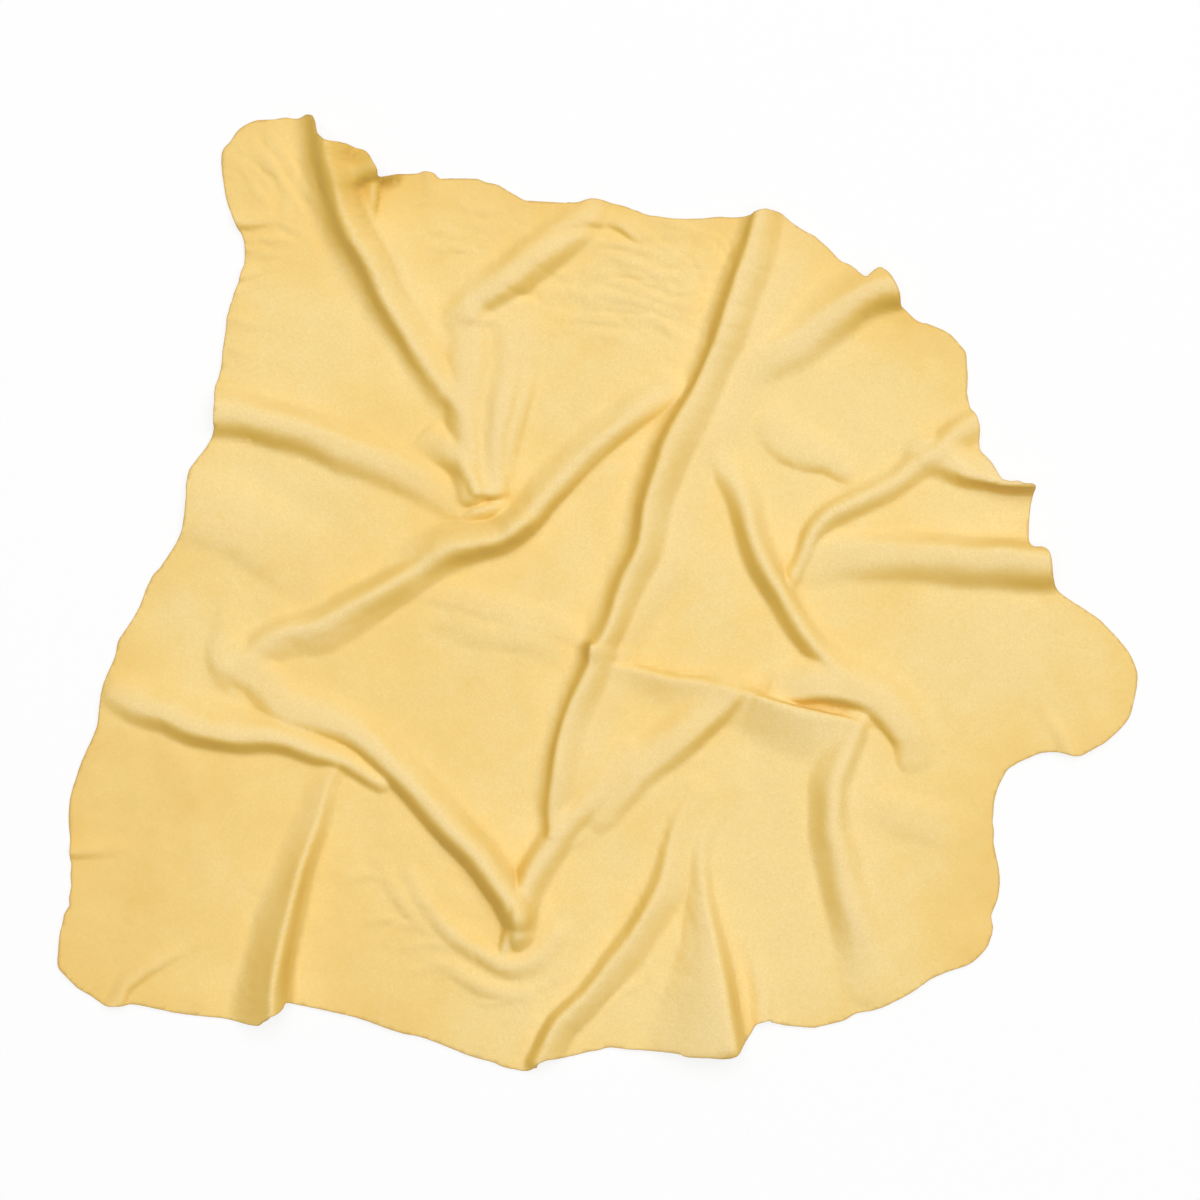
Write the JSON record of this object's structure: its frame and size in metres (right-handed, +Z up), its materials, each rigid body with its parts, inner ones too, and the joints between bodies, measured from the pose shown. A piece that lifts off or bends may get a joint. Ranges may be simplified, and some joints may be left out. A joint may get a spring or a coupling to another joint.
{
  "type": "chamois leather",
  "caption": "Whole suede-faced drying and polishing skin with a natural outline, laid out loosely with long soft folds.",
  "frame": {"origin": "centre of the laid skin's footprint, on the surface that it lies on", "axes": "+Z up, +X across the skin along its longest extent, +Y towards its neck end"},
  "size_m": [0.78, 0.69, 0.0245],
  "materials": {
    "suede": "soft napped suede on both sides, pale yellow, matt"
  },
  "bodies": {
    "root": {"chamois_hide": "suede"}
  },
  "joints": []
}
